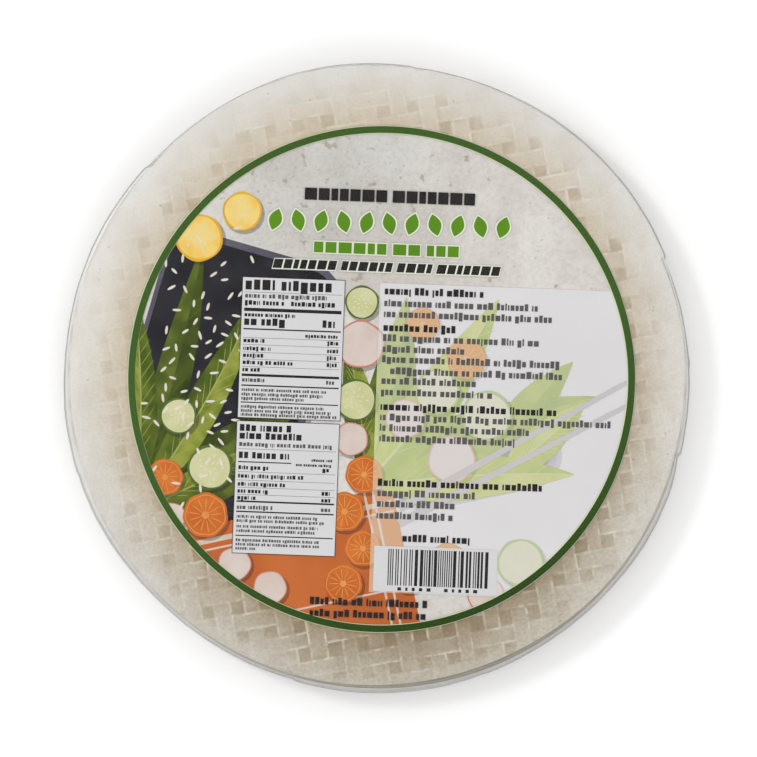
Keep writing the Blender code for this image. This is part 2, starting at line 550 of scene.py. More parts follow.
def make_woven_sheet(name, lines, outline, centre, face, up, hidden_radius, material):
    """A sheet with the weave as real relief on its upper (up=1) or lower (up=-1) face, at height face.

    The grid's lines follow the strips' edges. outline gives the rim's radius in each direction. Within
    hidden_radius the face is left plain.
    """
    reach = int(SHEET_RADIUS / WEAVE_PITCH) + 2
    half = [*lines, 0.5]
    cell = [*half, *(1 - part for part in reversed(lines[1:]))]
    places = np.array([n + part for n in range(-reach, reach + 1) for part in cell])
    u, v = (grid.ravel() for grid in np.meshgrid(places, places, indexing="ij"))
    height, openness_and_shade, edge_highlight = weave_at(u, v)
    draw = random.Random(41)
    strips = [[draw.uniform(*STRIP_MIDDLES), draw.uniform(*STRIP_HALF_WIDTHS)] for _ in range(8 * reach)]
    shifts = np.array(strips)
    columns, rows = np.floor(u).astype(int) + 2 * reach, np.floor(v).astype(int) + 6 * reach
    across = np.floor(u) + uneven(u - np.floor(u), shifts[columns, 0], shifts[columns, 1]) + WEAVE_START[0]
    along = np.floor(v) + uneven(v - np.floor(v), shifts[rows, 0], shifts[rows, 1]) + WEAVE_START[1]
    turn_x, turn_y = math.cos(WEAVE_TURN), math.sin(WEAVE_TURN)
    x = WEAVE_PITCH * (across * turn_x - along * turn_y)
    y = WEAVE_PITCH * (across * turn_y + along * turn_x)
    wander_x, wander_y = drift(x, y, 5, 42 * MM), drift(x, y, 6, 42 * MM)
    x, y = x + WEAVE_WANDER * wander_x, y + WEAVE_WANDER * wander_y

    angle, radius = np.arctan2(y, x), np.hypot(x, y)
    edge = outline(angle)
    inside = (radius < edge) & (radius > hidden_radius)
    limit = np.where(radius > edge, edge, np.where(radius < hidden_radius, hidden_radius, radius))
    x, y = x * limit / np.maximum(radius, 1e-6), y * limit / np.maximum(radius, 1e-6)
    to_rim = edge - limit
    relief = WEAVE_RELIEF * (0.30 + 0.70 * smooth_step(to_rim, 0.0, 9 * MM))
    curl = RIM_CURL * (1 - smooth_step(to_rim, 0.0, 1.6 * MM))
    wave = FACE_WAVE * drift(x, y, 12, 45 * MM)
    z = face + up * (relief * height - WEAVE_RELIEF - curl + wave)

    side = len(places)
    index = np.arange(side * side).reshape(side, side)
    quads = np.stack([index[:-1, :-1], index[1:, :-1], index[1:, 1:], index[:-1, 1:]], -1).reshape(-1, 4)
    quads = quads[inside[quads].any(1)][:, ::up]
    used, packed = np.unique(quads, return_inverse=True)
    x, y = x[used], y[used]
    points = np.stack([x + centre.x, y + centre.y, z[used]], 1)
    piece = add_piece(name, points, packed.reshape(-1, 4), material)

    clarity = weave_clarity(x, y)
    # The openness values carry painted shade as well, and the edge values painted highlights.
    add_values(piece, "opening_and_shade", openness_and_shade[used] * clarity)
    add_values(piece, "edge_highlight", edge_highlight[used] * clarity)
    ghost_turn = WEAVE_TURN + math.radians(31.0)
    ghost_u = (x * math.cos(ghost_turn) + y * math.sin(ghost_turn)) / WEAVE_PITCH
    ghost_v = (y * math.cos(ghost_turn) - x * math.sin(ghost_turn)) / WEAVE_PITCH
    soft = 0.5 + 0.25 * (np.cos(math.tau * ghost_u) + np.cos(math.tau * ghost_v))
    add_values(piece, "ghost", np.clip(0.25 * soft + 0.22 * drift(x, y, 33, 24 * MM), 0.0, 1.0))
    close_sheet(piece, centre, face - up * SHEET_THICKNESS, hidden_radius)
    return piece


def ring_corners(edges):
    """The corners of a closed ring of edges, in order from the first edge."""
    ring = set(edges)
    last = edges[0]
    corners = [last.verts[0]]
    while last.other_vert(corners[-1]) != corners[0]:
        corners.append(last.other_vert(corners[-1]))
        last = next(edge for edge in corners[-1].link_edges if edge in ring and edge != last)
    return corners


def close_sheet(piece, centre, far_face, hidden_radius):
    """Makes an open sheet solid: its rim is drawn to a flat far face, and a plain middle is filled in."""
    work = bmesh.new()
    work.from_mesh(piece.data)
    between = (hidden_radius + SHEET_RADIUS) / 2
    open_edges = [edge for edge in work.edges if edge.is_boundary]
    middle = [edge for edge in open_edges if (edge.verts[0].co.xy - centre).length <= between]
    rim = ring_corners([edge for edge in open_edges if (edge.verts[0].co.xy - centre).length > between])
    if middle:
        work.faces.new(ring_corners(middle))
    far = [work.verts.new((*corner.co.xy, far_face), corner) for corner in rim]
    for step in range(len(rim)):
        work.faces.new((rim[step - 1], rim[step], far[step], far[step - 1]))
    work.faces.new(far)
    save_outwards(work, piece)
    piece.data.set_sharp_from_angle(angle=math.radians(60.0))


def sheet_places():
    """(number, centre x, centre y) of each sheet between the lowest and the top one, loosely squared up."""
    draw = random.Random(2024)
    places = []
    side = 0.0
    for number in range(1, SHEET_COUNT - 1):
        height = number / (SHEET_COUNT - 1)
        side = 0.5 * side + draw.uniform(-1.1, 1.1) * MM
        lean = draw.uniform(-0.1, 1.7) * MM
        rise = float(smooth_step(height, 0.65, 1.0))
        centre = LOW_SHEET_CENTRE.lerp(TOP_SHEET_CENTRE, rise) + (1 - 0.7 * rise) * Vector((side, lean))
        places.append((number, centre.x, centre.y))
    return places


def keep_within_film(x, y, height):
    """Draws a sheet's rim in where it would come too near the film's wall. More room is left at the foot."""
    share = height / PACK_TOP
    inset = 0.0
    for rounding, past in ((BASE_ROUNDING, height), (SHOULDER_ROUNDING, PACK_TOP - height)):
        within = max(0.0, 1 - past / rounding)
        inset += rounding * (1 - math.sqrt(1 - within * within))
    centre = FILM_SHIFT * share - film_middle()
    across, along = x - centre.x, y - centre.y
    angle, radius = np.arctan2(along, across), np.hypot(across, along)
    foot = ((1 - np.sin(angle)) / 2) ** 2
    wall = film_outline(angle) - WALL_LEAN * share - inset - tuck_depth(angle)
    scale = np.minimum(1.0, (wall - (FILM_CLEARANCE + FOOT_CLEARANCE * foot) * MM) / radius)
    return centre.x + across * scale, centre.y + along * scale


# A middle sheet's section round its rim: (inset from the rim in mm, height in its own thickness). Its rim
# wavers up and down.
RIM_SECTION = ((8.0, -0.5), (0.22, -0.5), (0.0, -0.2), (0.0, 0.2), (0.22, 0.5), (8.0, 0.5))
RIM_WAVER = 0.045 * MM
STACK_LIFT = 0.12 * MM


def make_sheet_stack(material):
    """The sheets between the lowest and the top one, thin closed discs with slightly wavy rims."""
    segments = 420
    angle = directions(segments)
    points, faces = [], []
    for number, centre_x, centre_y in sheet_places():
        middle = SHEET_PITCH * (number + 0.5) + STACK_LIFT
        start = len(points)
        outline = sheet_outline(angle, 300 + number)
        crossing = np.cos(angle * round(math.tau * SHEET_RADIUS / WEAVE_PITCH) + number * 1.7)
        waver = RIM_WAVER * crossing + ripple(angle, 500 + number, (4, 7, 11, 19), 0.03 * MM)
        rim_x, rim_y = centre_x + outline * np.cos(angle), centre_y + outline * np.sin(angle)
        rim_x, rim_y = keep_within_film(rim_x, rim_y, middle)
        for inset, side in RIM_SECTION:
            x, y = rim_x - inset * MM * np.cos(angle), rim_y - inset * MM * np.sin(angle)
            rise = waver * (1.0 if inset < 1 else 0.0)
            points.extend(zip(x, y, middle + SHEET_THICKNESS * side + rise))
        faces.extend(band_faces(start, len(RIM_SECTION), segments))
    piece = add_piece("sheet_stack", points, faces, material)
    face_outwards(piece)
    piece.data.set_sharp_from_angle(angle=math.radians(50.0))
    return piece


# -------- the film

def film_outline(angle):
    return waved(FILM_RADIUS, angle, OUTLINE_WAVES)


def film_middle():
    """The middle of the widest outline's box, which lies over the origin."""
    angle = directions(FILM_SEGMENTS)
    outline = film_outline(angle)
    x, y = outline * np.cos(angle), outline * np.sin(angle)
    return Vector(((x.min() + x.max()) / 2, (y.min() + y.max()) / 2))


def turn_between(angle, direction):
    """How far each angle is turned past a direction, from -pi to pi."""
    return np.angle(np.exp(1j * (angle - direction)))


def tuck_depth(angle):
    """How far the film is stepped in at its tucks, each sharp on one side and fading out on the other."""
    depth = np.zeros_like(angle)
    for direction, step, length in TUCKS:
        past = np.degrees(turn_between(angle, math.radians(direction))) * math.copysign(1, length)
        depth += step * MM * smooth_step(past, -0.4, 0.4) * np.exp(-np.maximum(past, 0) / (abs(length) / 2))
    return depth


def film_profile():
    """(inset from the outline, height) from the middle of the underside, up the wall, to the flat top."""
    points = [(share * FILM_RADIUS + BASE_ROUNDING, 0.0) for share in (0.8, 0.5, 0.25, 0.1, 0.04, 0.01)]
    quarter = [math.pi / 2 * step / ROUNDING_STEPS for step in range(ROUNDING_STEPS + 1)]
    for turn in quarter:
        points.append((BASE_ROUNDING * (1 - math.sin(turn)), BASE_ROUNDING * (1 - math.cos(turn))))
    wall = PACK_TOP - BASE_ROUNDING - SHOULDER_ROUNDING
    for step in range(1, WALL_STEPS):
        share = step / WALL_STEPS
        bulge = WALL_BULGE * math.sin(math.pi * share)
        points.append((WALL_LEAN * share - bulge, BASE_ROUNDING + wall * share))
    for turn in quarter:
        inset = WALL_LEAN + SHOULDER_ROUNDING * (1 - math.cos(turn))
        points.append((inset, PACK_TOP - SHOULDER_ROUNDING * (1 - math.sin(turn))))
    return points


def film_wrinkle(angle, height):
    """How far the wall is drawn in or pushed out: upright tension folds, a weld line and two small ears."""
    share = height / PACK_TOP
    folds = ripple(angle, 91, (17, 23, 31, 43, 57, 71), 0.07 * MM) * math.sin(math.pi * share) ** 0.7
    sag = ripple(angle, 92, (5, 8, 11, 14), 0.10 * MM) * math.sin(math.pi * share)
    weld_height = (0.40 + 0.03 * np.cos(2 * angle)) * PACK_TOP
    weld = WELD_REACH * np.exp(-((height - weld_height) / WELD_WIDTH) ** 2)
    ears = np.zeros_like(angle)
    for turn, reach in EARS:
        across = np.exp(-(turn_between(angle, turn) / EAR_WIDTH) ** 2)
        ears += reach * across * math.exp(-((share - 0.30) / 0.16) ** 2)
    return folds + sag + weld + ears - tuck_depth(angle)


def film_wall_rings(angle):
    """The film from the middle of its underside up to the edge of its top, kept within the CAD box."""
    outline, middle = film_outline(angle), film_middle()
    rings = []
    for inset, height in film_profile():
        share = height / PACK_TOP
        radius = outline - inset + (film_wrinkle(angle, height) if 0 < share < 1 else 0.0)
        x = radius * np.cos(angle) - middle.x + FILM_SHIFT.x * share
        y = radius * np.sin(angle) - middle.y + FILM_SHIFT.y * share
        x, y = np.clip(x, PACK_LOW.x, PACK_HIGH.x), np.clip(y, PACK_LOW.y, PACK_HIGH.y)
        rings.append(level_ring(x, y, height))
    return rings


def film_top_rings(angle, edge):
    """The film's top: sunk a little between the rim and the label, then flat over the label."""
    circle = np.stack([np.cos(angle), np.sin(angle)], 1)
    label_middle = np.array(LABEL_CENTRE.xy)
    seat = label_middle + (LABEL_RADIUS + 1.0 * MM) * circle
    rings = []
    for share in (0.03, 0.08, 0.15, 0.25, 0.38, 0.52, 0.66, 0.78, 0.88, 0.94, 1.0):
        flat = edge[:, :2] * (1 - share) + seat * share
        dip = 0.16 * MM * math.sin(math.pi * min(1.0, share * 1.02)) ** 0.8
        pucker = 0.05 * MM * np.abs(drift(flat[:, 0], flat[:, 1], 61, 14 * MM)) * (1 - share)
        rings.append(np.column_stack([flat, PACK_TOP - dip - pucker]))
    for share in (0.97, 0.90, 0.75, 0.5, 0.25, 0.05):
        flat = label_middle + share * LABEL_RADIUS * circle
        sag = 0.01 * MM * (1 + drift(flat[:, 0], flat[:, 1], 62, 40 * MM) / 3)
        rings.append(np.column_stack([flat, PACK_TOP - sag]))
    return rings


def make_film(material):
    """The whole film. Its loose values are 1 on the wall, falling to 0 where the top lies on the sheet."""
    angle = directions(FILM_SEGMENTS)
    wall = film_wall_rings(angle)
    top = film_top_rings(angle, wall[-1])
    faces = band_faces(0, len(wall) + len(top), FILM_SEGMENTS)
    piece = add_piece("film", np.concatenate(wall + top), faces, material)
    loose = [1.0] * len(wall) + [max(0.0, 1 - number / 3) for number in range(len(top))]
    add_values(piece, "loose", np.repeat(loose, FILM_SEGMENTS))
    face_outwards(piece)
    return piece


# -------- the print

def on_label(x, y, height):
    """A place on the label, given in its own millimetres, in the pack's frame."""
    turn_x, turn_y = math.cos(LABEL_TURN), math.sin(LABEL_TURN)
    return (
        LABEL_CENTRE.x + (x * turn_x - y * turn_y) * MM,
        LABEL_CENTRE.y + (x * turn_y + y * turn_x) * MM,
        height,
    )


def turns_round(steps):
    return [math.tau * step / steps for step in range(steps)]


def around(x, y, reach, turn):
    """The place at this reach and turn from a middle."""
    return x + reach * math.cos(turn), y + reach * math.sin(turn)


def disc_cuts(radius, sides=240):
    """The straight cuts that make a disc: (normal x, normal y, distance from the middle) of each."""
    reach = radius * math.cos(math.pi / sides)
    return [(math.cos(turn), math.sin(turn), reach) for turn in turns_round(sides)]


def clip(outline, cuts):
    """The part of an outline that is inside every cut."""
    kept = outline
    for normal_x, normal_y, reach in cuts:
        depths = [x * normal_x + y * normal_y - reach for x, y in kept]
        if max(depths, default=0.0) <= 0:
            continue
        cut = []
        for number, (x, y) in enumerate(kept):
            before_x, before_y = kept[number - 1]
            depth, depth_before = depths[number], depths[number - 1]
            if (depth > 0) != (depth_before > 0):
                share = depth_before / (depth_before - depth)
                cut.append((before_x + (x - before_x) * share, before_y + (y - before_y) * share))
            if depth <= 0:
                cut.append((x, y))
        kept = cut
        if len(kept) < 3:
            return []
    return kept


def clip_to_disc(outline, radius):
    if all(math.hypot(x, y) <= radius for x, y in outline):
        return outline
    return clip(outline, disc_cuts(radius))


# The text's field, where the picture is printed pale: its left, bottom, right and top.
FIELD = (-1.8, -76.3, 95.0, 34.2)
FIELD_CUTS = ((-1, 0, -FIELD[0]), (0, -1, -FIELD[1]), (1, 0, FIELD[2]), (0, 1, FIELD[3]))
FIELD_COLOUR = (0.672, 0.660, 0.668)
PALE_HUE = 0.35
PALE_DEPTH = 0.12

# Corners of a filled outline that span less than this, in square millimetres, get no face.
SMALLEST_AREA = 1e-7


class Print:
    """One layer of ink on the label: outlines in one finish, a step above the layer printed before it.

    While pale is set, layers are printed in pale inks and only within the text's field.
    """

    top = 0
    every = []
    pale = False

    def __init__(self, name, material, beside=None):
        """With beside, the layer starts level with that one, not above all that is printed so far."""
        if beside is None:
            Print.top += 1
        Print.every.append(self)
        self.name = ("pale_" if Print.pale else "") + name
        self.material = material
        self.cuts = FIELD_CUTS if Print.pale else ()
        self.level = Print.top if beside is None else beside.level
        self.points = []
        self.faces = []

    def fill(self, outline, radius=RING_INNER, lift=0.0):
        """Fills an outline, cut to a radius, and lifted by so many ink steps above the layer."""
        outline = clip(clip_to_disc(outline, radius), self.cuts)
        if len(outline) < 3:
            return
        start = len(self.points)
        height = LABEL_FACE + INK_STEP * (self.level + lift)
        self.points.extend(on_label(x, y, height) for x, y in outline)
        for corners in tessellate_polygon([[Vector((x, y, 0.0)) for x, y in outline]]):
            first, second, third = (Vector(outline[c]) for c in corners)
            area = (second - first).cross(third - first)
            if abs(area) < SMALLEST_AREA:
                continue
            ordered = corners if area > 0 else tuple(reversed(corners))
            self.faces.append(tuple(start + c for c in ordered))

    def make(self):
        if self.faces:
            add_piece(self.name, self.points, self.faces, self.material, smooth=False)


def turned(outline, degrees, x=0.0, y=0.0):
    """An outline turned about its own origin and then moved."""
    turn_x, turn_y = math.cos(math.radians(degrees)), math.sin(math.radians(degrees))
    return [(x + px * turn_x - py * turn_y, y + px * turn_y + py * turn_x) for px, py in outline]


def box(left, bottom, right, top):
    return [(left, bottom), (right, bottom), (right, top), (left, top)]


def rounded_box(width, height, corner, steps=8):
    """A box about the origin with round corners."""
    outline = []
    for quarter, (sign_x, sign_y) in enumerate(((1, 1), (-1, 1), (-1, -1), (1, -1))):
        for step in range(steps + 1):
            turn = math.pi / 2 * (quarter + step / steps)
            x = sign_x * (width / 2 - corner) + corner * math.cos(turn)
            outline.append((x, sign_y * (height / 2 - corner) + corner * math.sin(turn)))
    return outline


def disc(x, y, radius, wobble=0.0, lobes=5, steps=72):
    """A circle, or a rounded shape whose edge wobbles by a share of its radius."""
    wobbles = [radius * (1 + wobble * math.cos(lobes * turn + x)) for turn in turns_round(steps)]
    return [around(x, y, reach, turn) for reach, turn in zip(wobbles, turns_round(steps))]


def oval(x, y, length, width, degrees, steps=20):
    outline = [(length / 2 * math.cos(turn), width / 2 * math.sin(turn)) for turn in turns_round(steps)]
    return turned(outline, degrees, x, y)


def blade_half_width(share, width):
    return width / 2 * math.sin(math.pi * share ** 0.72) ** 0.85


def blade(length, width, bend, part, steps=36):
    """Part of a long bent leaf that runs from the origin along +x: its upper or lower half, or its rib."""
    upper, lower = [], []
    for step in range(steps + 1):
        share = step / steps
        half = blade_half_width(share, width)
        if part == "rib":
            half = 0.022 * width * (1 - 0.8 * share) + 0.10
        x, y = length * share, bend * share * share
        upper.append((x, y + (half if part != "lower" else 0.0)))
        lower.append((x, y - (half if part != "upper" else 0.0)))
    return upper + lower[::-1]


def blade_veins(length, width, bend, slant=28.0, pairs=12):
    """The blade's side veins: thin ovals that slant out from the rib on both sides."""
    veins = []
    for step in range(pairs):
        share = 0.12 + 0.74 * step / pairs
        reach = 1.55 * blade_half_width(share, width)
        for side in (-1, 1):
            x = length * share + reach / 2 * math.cos(math.radians(slant))
            y = bend * share * share + side * reach / 2 * math.sin(math.radians(slant))
            veins.append(oval(x, y, reach, 0.22, side * slant, 10))
    return veins


def lozenge(x, y, height, width, degrees, steps=14):
    """A small pointed oval, upright before it is turned."""
    right, left = [], []
    for step in range(steps + 1):
        share = step / steps
        half = width / 2 * math.sin(math.pi * share) ** 0.9
        right.append((half, height * (share - 0.5)))
        left.append((-half, height * (share - 0.5)))
    return turned(right + left[1:-1][::-1], degrees, x, y)


# Print without letters: how many blocks a group has, and their widths, gaps and drop as shares of the line's
# height. TALL_BLOCKS and LOW_BLOCKS are the shares of the blocks that rise higher and that drop lower.
WORD_LENGTHS = (2, 3, 4, 5, 6, 7, 8)
BLOCK_WIDTHS = (0.26, 0.55, 0.62, 0.70, 0.78, 0.90)
BLOCK_GAP = 0.24
WORD_GAP = 0.50
BLOCK_DROP = 0.30
TALL_BLOCKS = 0.30
LOW_BLOCKS = 0.08


def word_blocks(target, x, y, width, height, draw, tallest=1.3):
    """A line of small upright blocks of varied width and height, in groups like words."""
    right = x + width
    while x < right - 0.6 * height:
        for _ in range(draw.choice(WORD_LENGTHS)):
            block = height * draw.choice(BLOCK_WIDTHS)
            if x + block > right:
                return
            rise = height * (tallest if draw.random() < TALL_BLOCKS else 1.0)
            drop = height * (BLOCK_DROP if draw.random() < LOW_BLOCKS else 0.0)
            target.fill(box(x, y - drop, x + block, y + rise))
            x += block + BLOCK_GAP * height
        x += WORD_GAP * height


# The widths of a heading's blocks, and what is added to its gap between two groups, in gaps.
HEADING_WIDTHS = (1.0, 0.8, 1.12, 0.62, 0.94)
HEADING_SPACE = 2.2


def heading_blocks(target, groups, centre, y, block, height, gap, slant=0.0, grow=0.0):
    """A centred heading: groups of blocks of a few widths. grow widens each block on both sides."""
    turns = [3 * place + group for group in groups for place in range(group)]
    widths = [block * HEADING_WIDTHS[turn % len(HEADING_WIDTHS)] for turn in turns]
    gaps = (sum(groups) - len(groups)) * gap + (len(groups) - 1) * (1 + HEADING_SPACE) * gap
    x = centre - (sum(widths) + gaps) / 2
    widths.reverse()
    for group in groups:
        for _ in range(group):
            width = widths.pop()
            left, right, lean = x - grow, x + width + grow, slant * height
            target.fill([(left, y), (right, y), (right + lean, y + height), (left + lean, y + height)])
            x += width + gap
        x += HEADING_SPACE * gap


# Each finish of the print: its colour, the colour it drifts to, and the scale of the noise between them.
INKS = {
    "slate": ((0.014, 0.014, 0.018), (0.026, 0.025, 0.031), 90.0),
    "slate_edge": ((0.125, 0.115, 0.150), (0.085, 0.080, 0.108), 60.0),
    "cloth": ((0.530, 0.140, 0.036), (0.455, 0.110, 0.028), 45.0),
    "cloth_stripe": ((0.640, 0.520, 0.430), (0.560, 0.440, 0.360), 80.0),
    "leaf_back_dark": ((0.026, 0.042, 0.007), (0.062, 0.088, 0.012), 120.0),
    "leaf_back_light": ((0.058, 0.088, 0.012), (0.125, 0.160, 0.024), 150.0),
    "leaf_dark": ((0.052, 0.084, 0.009), (0.120, 0.160, 0.018), 120.0),
    "leaf_light": ((0.130, 0.175, 0.016), (0.290, 0.320, 0.055), 150.0),
    "leaf_rib": ((0.350, 0.390, 0.110), (0.270, 0.310, 0.080), 60.0),
    "peel": ((0.070, 0.120, 0.024), (0.100, 0.160, 0.036), 120.0),
    "flesh": ((0.600, 0.590, 0.350), (0.520, 0.530, 0.270), 130.0),
    "pulp": ((0.660, 0.650, 0.470), (0.600, 0.600, 0.400), 160.0),
    "radish": ((0.650, 0.560, 0.510), (0.590, 0.480, 0.430), 100.0),
    "radish_skin": ((0.540, 0.185, 0.140), (0.600, 0.260, 0.200), 110.0),
    "orange": ((0.600, 0.165, 0.030), (0.500, 0.120, 0.022), 110.0),
    "orange_core": ((0.700, 0.300, 0.085), (0.650, 0.240, 0.060), 160.0),
    "yellow": ((0.740, 0.440, 0.040), (0.640, 0.340, 0.025), 90.0),
    "yellow_flesh": ((0.800, 0.600, 0.200), (0.760, 0.480, 0.080), 110.0),
    "grain": ((0.700, 0.660, 0.580), (0.640, 0.590, 0.500), 200.0),
    "stick": ((0.110, 0.102, 0.100), (0.150, 0.140, 0.135), 50.0),
    "ring_line": ((0.620, 0.680, 0.440), (0.560, 0.630, 0.380), 60.0),
    "title_green": ((0.110, 0.270, 0.012), (0.090, 0.225, 0.010), 30.0),
    "halo": ((0.720, 0.750, 0.640), (0.700, 0.730, 0.620), 60.0),
    "black": ((0.016, 0.015, 0.015), (0.024, 0.022, 0.022), 90.0),
    "soft_black": ((0.085, 0.082, 0.082), (0.100, 0.097, 0.096), 90.0),
    "panel_white": ((0.632, 0.627, 0.640), (0.612, 0.607, 0.620), 30.0),
    "field": (FIELD_COLOUR, (0.650, 0.638, 0.648), 30.0),
}


def paled(colour):
    """A colour as it looks printed pale: most of its hue, and little of its depth."""
    brightest = max(colour)
    depth = brightest ** PALE_DEPTH
    return tuple(field * depth * (part / brightest) ** PALE_HUE for part, field in zip(colour, FIELD_COLOUR))


def ink(name):
    colour, second, scale = INKS[name]
    full_name = ("print_pale_" if Print.pale else "print_") + name
    if Print.pale:
        colour, second = paled(colour), paled(second)
    return bpy.data.materials.get(full_name) or finish_ink(full_name, colour, second, scale)


def shade(piece):
    """A layer of see-through shadow."""
    name, share = ("print_pale_shade", 0.10) if Print.pale else ("print_shade", 0.30)
    return Print(piece, bpy.data.materials.get(name) or finish_veil(name, (0.05, 0.045, 0.05), share))


def layer(piece, name=None, beside=None):
    return Print(piece, ink(name or piece), beside)


# Dark slate boards: (x, y, direction, length, width), and what all have in common.
BOARDS = ((-57, -4, 76, 101, 65), (33, -27, 14, 62, 27))
BOARD_CORNER = 12
BOARD_RIM = 2
BOARD_SHADOW = 1.6


def print_boards():
    under = shade("board_shade")
    rim = layer("board_rim", "slate_edge")
    face = layer("board_face", "slate")
    for x, y, degrees, length, width in BOARDS:
        outer = rounded_box(length, width, BOARD_CORNER)
        inner = rounded_box(length - 2 * BOARD_RIM, width - 2 * BOARD_RIM, BOARD_CORNER - BOARD_RIM)
        under.fill(turned(outer, degrees, x + BOARD_SHADOW, y - BOARD_SHADOW))
        rim.fill(turned(outer, degrees, x, y))
        face.fill(turned(inner, degrees, x - 0.5, y - 0.3))


# The table cloth: its direction and middle, its size, and (place, width) of its stripes along and across.
CLOTH_PLACE = (14, -30, -76)
CLOTH_LENGTH = 86
CLOTH_WIDTH = 56
STRIPES_ALONG = ((22.5, 1.8), (19.4, 0.7), (-8.0, 0.7))
STRIPES_ACROSS = ((33.0, 0.8), (36.0, 0.8))


def print_cloth():
    """A table cloth with pale stripes, across the label's lower left."""
    layer("cloth").fill(turned(rounded_box(CLOTH_LENGTH, CLOTH_WIDTH, 2), *CLOTH_PLACE))
    stripes = layer("cloth_stripes", "cloth_stripe")
    end, side = CLOTH_LENGTH / 2 - 1, CLOTH_WIDTH / 2
    for place, width in STRIPES_ALONG:
        stripes.fill(turned(box(-end, place - width / 2, end, place + width / 2), *CLOTH_PLACE))
    for place, width in STRIPES_ACROSS:
        stripe = box(place - width / 2, -side, place + width / 2, side)
        stripes.fill(turned(stripe, *CLOTH_PLACE), lift=0.5)


# Leaves from back to front: each group's name, its inks, and its (x, y, direction, length, width, bend).
LEAF_GROUPS = (
    ("back", ("leaf_back_dark", "leaf_back_light", "leaf_back_light"), (
        (-87, -38, 98, 60, 13, -8), (-80, -46, 42, 70, 13, -10), (-84, -40, 74, 88, 13, 6),
        (-78, -50, 20, 50, 11, 7), (-3, -34, 74, 64, 17, 7), (-1, -36, 28, 84, 19, -8),
        (44, -24, 62, 40, 14, -6),
    )),
    ("front", ("leaf_dark", "leaf_light", "leaf_rib"), (
        (-86, -42, 86, 70, 12, 9), (-82, -44, 57, 84, 13, 9), (-79, -48, 31, 58, 11, -7),
        (-5, -32, 93, 46, 12, 6), (-1, -34, 50, 76, 18, 9), (0, -38, 10, 70, 17, -6),
        (46, -30, 34, 36, 13, 5),
    )),
)


def print_leaves():
    """Long blades in two fans, each with a dark and a light half, a rib and slanting veins.

    Each leaf lies a step above the one before it.
    """
    for group, (dark_ink, light_ink, rib_ink), leaves in LEAF_GROUPS:
        dark = layer(f"leaves_{group}_dark", dark_ink)
        light = layer(f"leaves_{group}_light", light_ink, beside=dark)
        ribs = layer(f"leaves_{group}_ribs", rib_ink, beside=dark)
        for number, (x, y, degrees, length, width, bend) in enumerate(leaves):
            halves = ("upper", "lower") if number % 2 else ("lower", "upper")
            for half_layer, half in zip((dark, light), halves):
                half_layer.fill(turned(blade(length, width, bend, half), degrees, x, y), lift=number)
            rib = blade(length * 0.96, width, bend * 0.92, "rib")
            ribs.fill(turned(rib, degrees, x, y), lift=number + 0.5)
            for vein in blade_veins(length, width, bend):
                ribs.fill(turned(vein, degrees, x, y), lift=number + 0.75)
        Print.top += len(leaves)


# Round slices: (x, y, radius) of each.
CUCUMBERS = (
    (-60, -34, 8.0), (-9, -8, 7.5), (-72, -16, 6.5), (38, -12, 9.0), (20, -4, 8.0), (52, -64, 8.5),
    (-8, 27, 6.0),
)
SQUASHES = ((-67, 48, 8.5), (-52, 58, 7.0))
RADISHES = (
    (-50, -68, 6.0), (-73, -52, 5.0), (-37, -76, 6.0), (40, -76, 6.5), (9, -14, 7.0), (26, -28, 8.5),
    (-8, 12, 8.5), (-10, -22, 6.0),
)
CARROTS = (
    (-5, -34.5, 6.6), (-11.5, -48, 7.0), (-4.5, -60.8, 6.4), (-11, -73.6, 6.8), (-76, -38, 6.5),
    (-61, -51, 8.0), (26, -64, 6.2), (12, -69, 7.0), (30, 8, 7.0), (14, 20, 6.0),
)

# Each slice's shadow lies this far right and up.
SLICE_SHADOW = (0.8, -0.9)

# What each slice is drawn with, in shares of its radius: seeds lie in three rings, spokes in two by turns.
SEEDS = 15
SEED_REACHES = (0.56, 0.38, 0.22)
SEED_SIZE = (0.17, 0.075)
SPOKES = 13
SPOKE_REACHES = (0.46, 0.52)
SPOKE_SIZE = (0.62, 0.045)


def print_seeded_rounds(name, rounds, rim_ink, flesh_ink):
    """Slices of a seedy vegetable: a thin rim, the flesh, and three rings of seeds."""
    rim = layer(f"{name}_rims", rim_ink)
    flesh = layer(f"{name}_flesh", flesh_ink)
    seeds = layer(f"{name}_seeds", "pulp")
    for x, y, radius in rounds:
        rim.fill(disc(x, y, radius, 0.015))
        flesh.fill(disc(x, y, radius * 0.90, 0.02, 3))
        for seed in range(SEEDS):
            turn = math.tau * seed / SEEDS + 0.10 * (seed % 3)
            place = around(x, y, radius * SEED_REACHES[seed % 3], turn)
            seeds.fill(oval(*place, radius * SEED_SIZE[0], radius * SEED_SIZE[1], math.degrees(turn)))


def print_radishes():
    skin = layer("radish_skin")
    flesh = layer("radish_flesh", "radish")
    for x, y, radius in RADISHES:
        skin.fill(disc(x, y, radius, 0.02))
        flesh.fill(disc(x, y, radius * 0.93, 0.02))


def print_carrots():
    """Carrot slices, each with a pale groove near its rim, pale spokes and a pale middle."""
    orange = layer("carrots", "orange")
    core = layer("carrot_cores", "orange_core")
    for x, y, radius in CARROTS:
        orange.fill(disc(x, y, radius, 0.02, 7))
        outer, inner = disc(x, y, radius * 0.90, 0.02, 7), disc(x, y, radius * 0.86, 0.02, 7)
        for step, corner in enumerate(outer):
            core.fill([inner[step - 1], outer[step - 1], corner, inner[step]])
        for spoke in range(SPOKES):
            degrees = spoke * 360 / SPOKES + 17 * (x % 3)
            place = around(x, y, radius * SPOKE_REACHES[spoke % 2], math.radians(degrees))
            core.fill(oval(*place, radius * SPOKE_SIZE[0], radius * SPOKE_SIZE[1], degrees, 10))
        core.fill(disc(x, y, radius * 0.17, 0.10, 5, 24))


